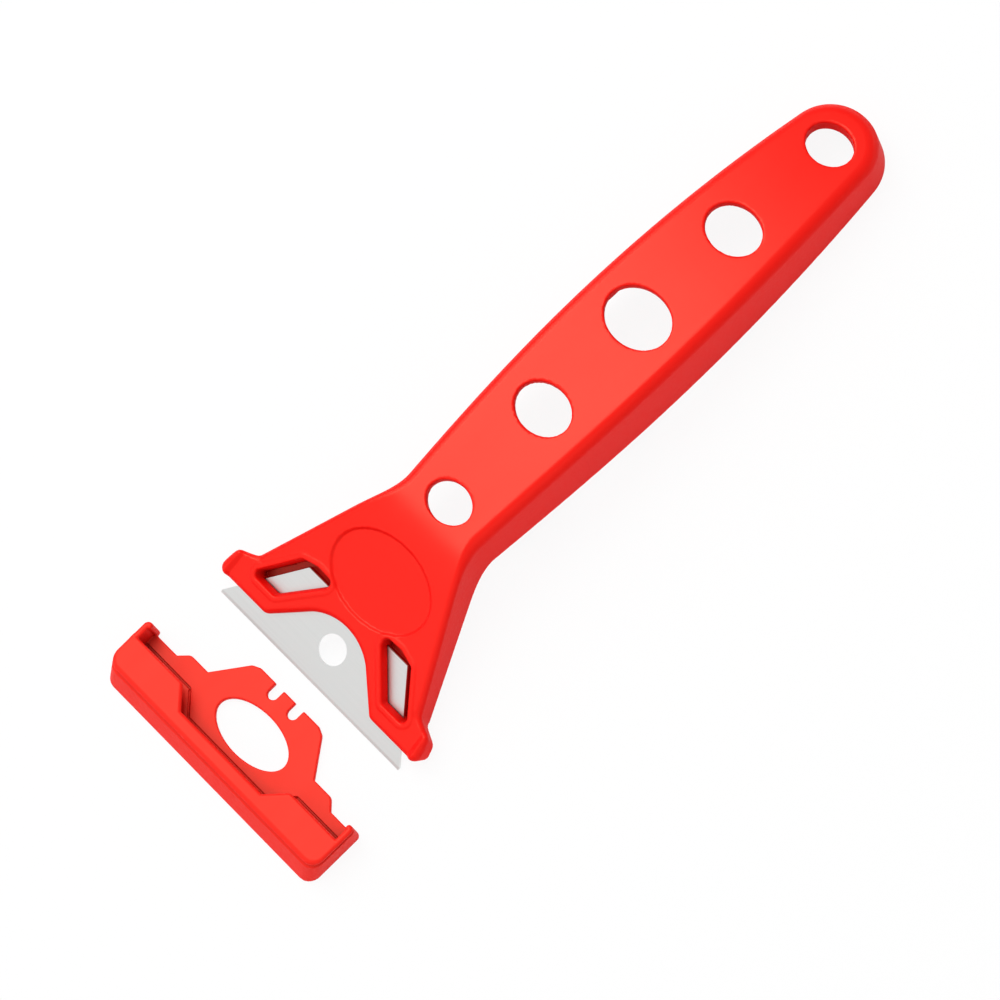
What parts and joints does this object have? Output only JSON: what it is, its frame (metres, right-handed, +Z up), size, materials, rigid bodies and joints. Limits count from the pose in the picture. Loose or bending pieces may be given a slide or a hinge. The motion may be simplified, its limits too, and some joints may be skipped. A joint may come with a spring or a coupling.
{
  "type": "paint scraper",
  "caption": "Hand scraper with an arched, hollow plastic grip pierced by five holes, a bent flared head that holds a trapezoid steel blade, and a push-on blade guard lying in front.",
  "frame": {"origin": "middle of the bounding box, on the bench that the scraper and its guard lie on", "axes": "+Y along the tool from the guard to the handle's end, +X across the blade, +Z up from the bench"},
  "size_m": [0.0702, 0.2136, 0.0237],
  "materials": {
    "handle_plastic": "bright red moulded plastic, satin gloss",
    "blade_steel": "bare hardened steel with a ground edge",
    "guard_plastic": "bright red moulded plastic, satin gloss"
  },
  "bodies": {
    "handle": {"handle": "handle_plastic"},
    "blade": {"blade": "blade_steel"},
    "blade_guard": {"blade_guard": "guard_plastic"}
  },
  "joints": [
    {"name": "blade_slide", "type": "slide", "parent": "handle", "child": "blade", "axis": [0, -0.9063, -0.4226], "range_m": [0, 0.016]},
    {"name": "guard_slide", "type": "slide", "parent": "handle", "child": "blade_guard", "axis": [0, -1, 0], "range_m": [-0.0035, 0.04]}
  ]
}
